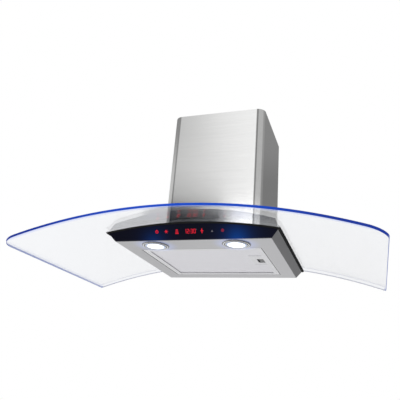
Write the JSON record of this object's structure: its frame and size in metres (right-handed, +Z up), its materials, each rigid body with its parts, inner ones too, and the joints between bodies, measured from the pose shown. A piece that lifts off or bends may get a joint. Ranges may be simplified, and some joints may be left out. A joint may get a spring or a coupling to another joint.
{
  "type": "curved glass range hood",
  "caption": "Wall-hung range hood: slim steel body with filter, lamps and touch fascia under a bent glass canopy, blower casing and telescopic chimney cover above.",
  "frame": {"origin": "midway between the two hanging holes, on the wall side of the blower casing's back plate", "axes": "+X to the right as seen by the cook, +Y into the wall, +Z up"},
  "size_m": [0.9, 0.52, 0.4835],
  "materials": {
    "brushed_steel": "brushed stainless sheet, fine grain across the hood",
    "chimney_steel": "brushed stainless sheet, fine grain across the cover",
    "galvanised_steel": "zinc-coated sheet",
    "black_glass": "black back-painted glass, polished",
    "circuit_board": "green circuit board",
    "display_red": "red seven-segment display",
    "black_rubber": "soft black rubber",
    "clear_glass": "clear bent safety glass, polished edges",
    "nylon": "natural nylon",
    "zinc_screws": "bright zinc-plated steel",
    "light_board": "white light board with light chips",
    "lamp_chrome": "polished chrome",
    "lamp_lens": "frosted lens, lit from behind",
    "cast_aluminium": "die-cast, as cast",
    "spring_steel": "hardened spring steel",
    "filter_frame": "rolled aluminium channel, satin",
    "filter_mesh": "layers of fine expanded aluminium mesh",
    "latch_black": "dark nylon latch",
    "grey_plastic": "grey moulded plastic",
    "black_plastic": "black moulded plastic",
    "flap_plastic": "dark moulded plastic",
    "wheel_plastic": "glass-filled nylon",
    "guard_wire": "zinc-plated wire",
    "copper_winding": "varnished copper winding on laminated steel",
    "rotor_steel": "laminated rotor",
    "ground_steel": "ground steel",
    "capacitor_can": "drawn aluminium can",
    "white_plastic": "flame-retardant moulded plastic",
    "cable_sheath": "black sheath"
  },
  "bodies": {
    "hood": {"body_tray": "brushed_steel", "tray_top_plate": "galvanised_steel", "control_fascia": "black_glass", "control_board": "circuit_board", "display_module": "display_red", "glass_seal": "black_rubber", "glass_canopy": "clear_glass", "glass_bushes": "nylon", "clamp_screws": "zinc_screws", "clamp_nuts": "zinc_screws", "edge_light_board": "light_board", "lamp_bezel_left": "lamp_chrome", "lamp_bezel_right": "lamp_chrome", "lamp_lens_left": "lamp_lens", "lamp_lens_right": "lamp_lens", "lamp_can_left": "cast_aluminium", "lamp_can_right": "cast_aluminium", "lamp_board_left": "light_board", "lamp_board_right": "light_board", "lamp_clips": "spring_steel", "motor_housing": "galvanised_steel", "housing_gasket": "black_rubber", "housing_lid": "galvanised_steel", "housing_screws": "zinc_screws", "scroll_casing": "grey_plastic", "scroll_cover": "grey_plastic", "scroll_screws": "zinc_screws", "inlet_ring": "black_plastic", "inlet_guard": "guard_wire", "motor_casing": "cast_aluminium", "motor_stator": "copper_winding", "motor_bearings": "ground_steel", "motor_grommets": "black_rubber", "motor_screws": "zinc_screws", "run_capacitor": "capacitor_can", "control_box": "white_plastic", "control_box_lid": "white_plastic", "driver_board": "circuit_board", "control_cable": "cable_sheath", "cable_gland": "black_plastic", "outlet_collar": "black_plastic", "flap_rod": "ground_steel", "collar_screws": "zinc_screws", "lower_chimney": "chimney_steel"},
    "filter": {"filter_frame": "filter_frame", "filter_mesh": "filter_mesh", "filter_pins": "spring_steel", "latch_plate": "filter_frame", "latch_spring": "spring_steel"},
    "latch": {"latch_slider": "latch_black"},
    "rotor": {"fan_wheel": "wheel_plastic", "motor_rotor": "rotor_steel", "motor_shaft": "ground_steel"},
    "left_flap": {"flap_left": "flap_plastic"},
    "right_flap": {"flap_right": "flap_plastic"},
    "upper_cover": {"upper_chimney": "chimney_steel"}
  },
  "joints": [
    {"name": "filter_swing", "type": "hinge", "parent": "hood", "child": "filter", "pos_m": [-0.157, -0.177, -0.281], "axis": [0, 1, 0], "range_deg": [0, 60]},
    {"name": "latch_slide", "type": "slide", "parent": "filter", "child": "latch", "axis": [-1, 0, 0], "range_m": [0, 0.004], "stiffness_N_per_m": 400, "springref_m": -0.005, "deforming": ["latch_spring"]},
    {"name": "fan_spin", "type": "hinge", "parent": "hood", "child": "rotor", "pos_m": [-0.016, -0.1, -0.101], "axis": [0, -1, 0], "continuous": true},
    {"name": "left_flap_swing", "type": "hinge", "parent": "hood", "child": "left_flap", "pos_m": [0.038, -0.11, 0.05035], "axis": [0, 1, 0], "range_deg": [0, 80]},
    {"name": "right_flap_swing", "type": "hinge", "parent": "hood", "child": "right_flap", "pos_m": [0.038, -0.11, 0.05035], "axis": [0, -1, 0], "range_deg": [0, 80]},
    {"name": "upper_cover_slide", "type": "slide", "parent": "hood", "child": "upper_cover", "axis": [0, 0, 1], "range_m": [0, 0.3]}
  ]
}
